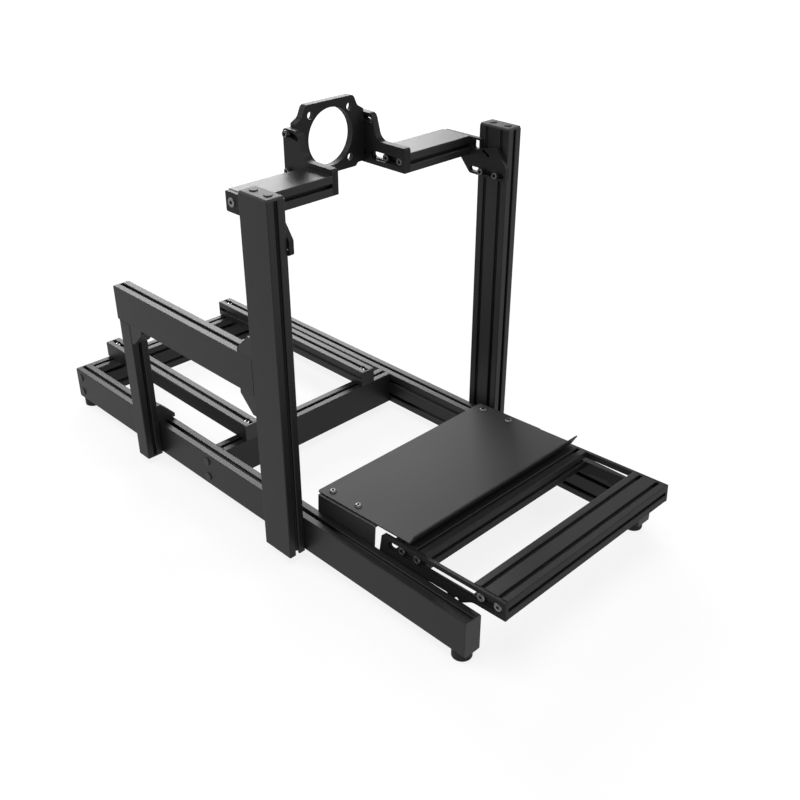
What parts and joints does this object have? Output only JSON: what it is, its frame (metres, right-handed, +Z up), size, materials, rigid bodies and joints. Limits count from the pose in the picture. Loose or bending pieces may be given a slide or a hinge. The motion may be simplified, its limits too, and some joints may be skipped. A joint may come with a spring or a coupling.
{
  "type": "racing simulator cockpit frame",
  "caption": "Open cockpit frame of slotted aluminium bars for racing games, with seat rails, wheel motor mount, tilted pedal deck, heel plate and side shifter arm",
  "frame": {"origin": "middle of the overall box, on the floor under the feet", "axes": "+X forward, from the seat to the pedals; +Y to the driver's left; +Z up"},
  "size_m": [1.4081, 0.672, 0.8504],
  "materials": {
    "black_extrusion": "anodised satin",
    "black_plate": "satin powder coat",
    "coated_sheet": "satin powder coat",
    "cast_bracket": "satin",
    "moulded_cap": "fine grain",
    "foot_rubber": "matt"
  },
  "bodies": {
    "root": {"right_side_rail": "black_extrusion", "left_side_rail": "black_extrusion", "rear_cross_member": "black_extrusion", "middle_cross_member": "black_extrusion", "right_seat_rail": "black_extrusion", "left_seat_rail": "black_extrusion", "right_upright": "black_extrusion", "left_upright": "black_extrusion", "right_wheel_arm": "black_extrusion", "left_wheel_arm": "black_extrusion", "shifter_arm": "black_extrusion", "shifter_post": "black_extrusion", "pedal_rear_bar": "black_extrusion", "pedal_front_bar": "black_extrusion", "right_arm_plate": "black_plate", "left_arm_plate": "black_plate", "right_wheel_bracket": "black_plate", "left_wheel_bracket": "black_plate", "motor_plate": "black_plate", "right_pedal_plate": "black_plate", "left_pedal_plate": "black_plate", "heel_plate": "coated_sheet", "right_heel_support": "coated_sheet", "left_heel_support": "coated_sheet", "post_top_bracket": "cast_bracket", "arm_top_bracket": "cast_bracket", "arm_bottom_bracket": "cast_bracket", "post_foot_bracket": "cast_bracket", "side_rail_end_caps": "moulded_cap", "seat_rail_end_caps": "moulded_cap", "shifter_arm_cap": "moulded_cap", "shifter_post_cap": "moulded_cap", "right_upright_cap": "moulded_cap", "left_upright_cap": "moulded_cap", "bolt_covers": "moulded_cap", "right_rear_foot": "foot_rubber", "left_rear_foot": "foot_rubber", "right_front_foot": "foot_rubber", "left_front_foot": "foot_rubber"}
  },
  "joints": []
}
